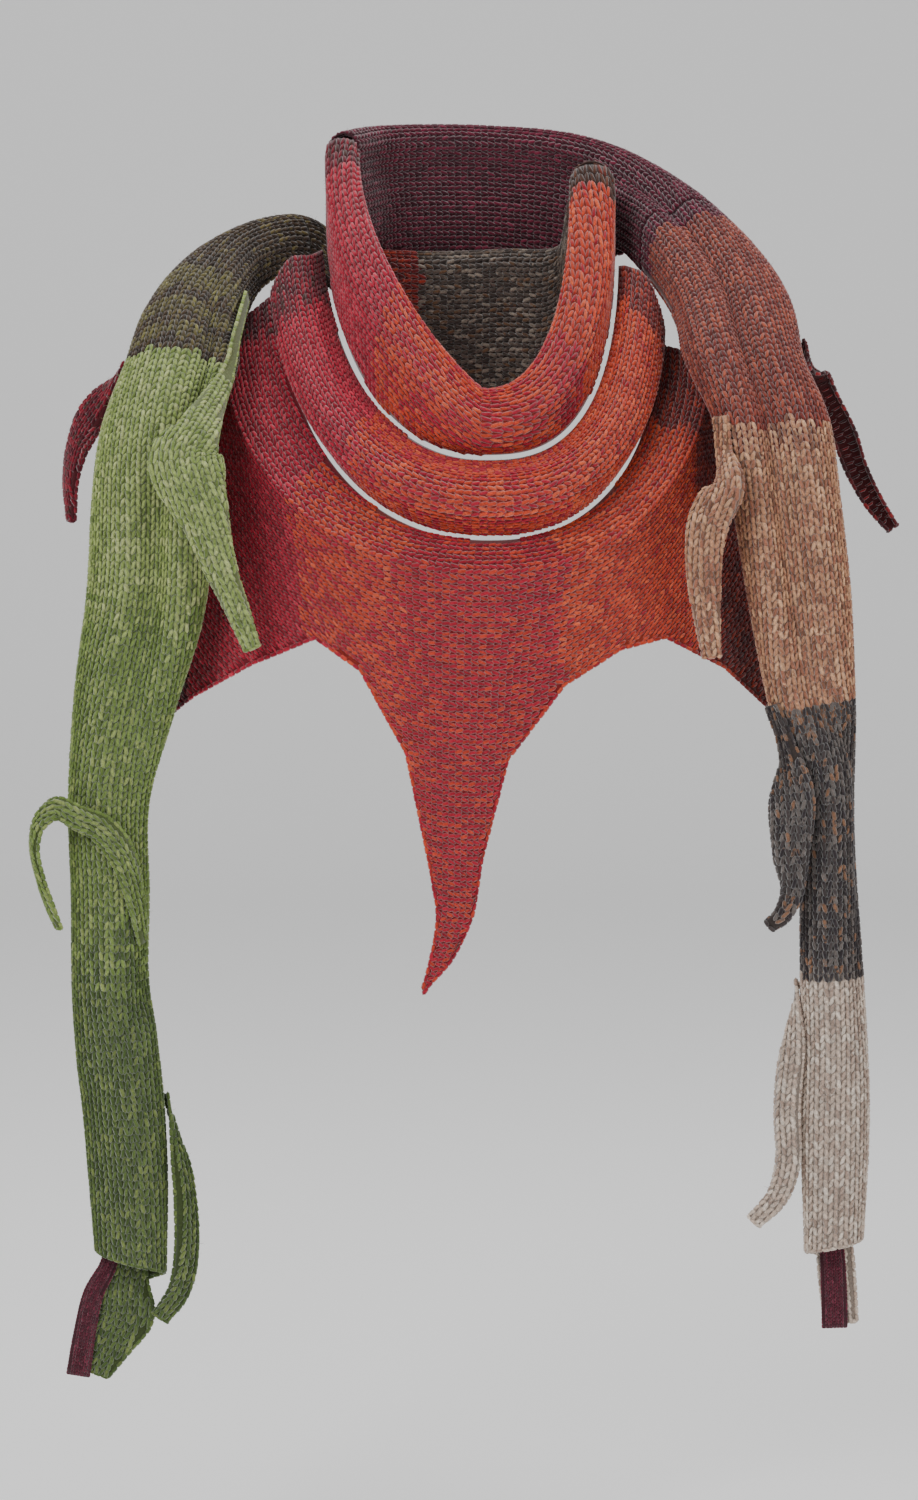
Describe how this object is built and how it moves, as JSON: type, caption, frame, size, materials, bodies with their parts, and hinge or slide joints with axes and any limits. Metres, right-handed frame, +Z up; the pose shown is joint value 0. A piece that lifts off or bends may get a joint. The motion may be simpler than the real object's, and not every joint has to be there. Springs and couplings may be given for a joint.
{
  "type": "knitted triangle shawl, worn with the point in front and both ends hanging",
  "caption": "Chunky knitted triangle shawl in its worn form: rolled collar, front point, crossed back and two long hanging ends with small points.",
  "frame": {"origin": "middle of the neck opening at the height of the shoulder line, where the wearer's neck and shoulders hold the shawl", "axes": "+Z up; -Y is the front, where the point hangs; +X is the right-hand side as seen from the front"},
  "size_m": [0.5034, 0.2614, 0.7279],
  "materials": {
    "crimson_knit": "matt wool knit",
    "orange_red_knit": "matt wool knit",
    "burgundy_knit": "matt wool knit",
    "grey_brown_knit": "matt wool knit",
    "rust_knit": "matt wool knit",
    "tan_knit": "matt wool knit",
    "charcoal_knit": "matt wool knit",
    "beige_knit": "matt wool knit",
    "light_green_knit": "matt wool knit",
    "moss_green_knit": "matt wool knit"
  },
  "bodies": {
    "root": {"collar": "crimson_knit", "front_fold": "crimson_knit", "front_bib": "orange_red_knit", "back_band": "burgundy_knit", "under_band": "grey_brown_knit", "right_tail": "rust_knit", "left_tail": "light_green_knit", "left_point_upper": "light_green_knit", "left_point_middle": "moss_green_knit", "left_point_lower": "moss_green_knit", "right_point_upper": "tan_knit", "right_point_middle": "charcoal_knit", "right_point_lower": "beige_knit", "left_point_back": "crimson_knit", "right_point_back": "burgundy_knit", "left_end_flap": "moss_green_knit", "right_end_flap": "beige_knit", "left_end_facing": "burgundy_knit", "right_end_facing": "burgundy_knit"}
  },
  "joints": []
}
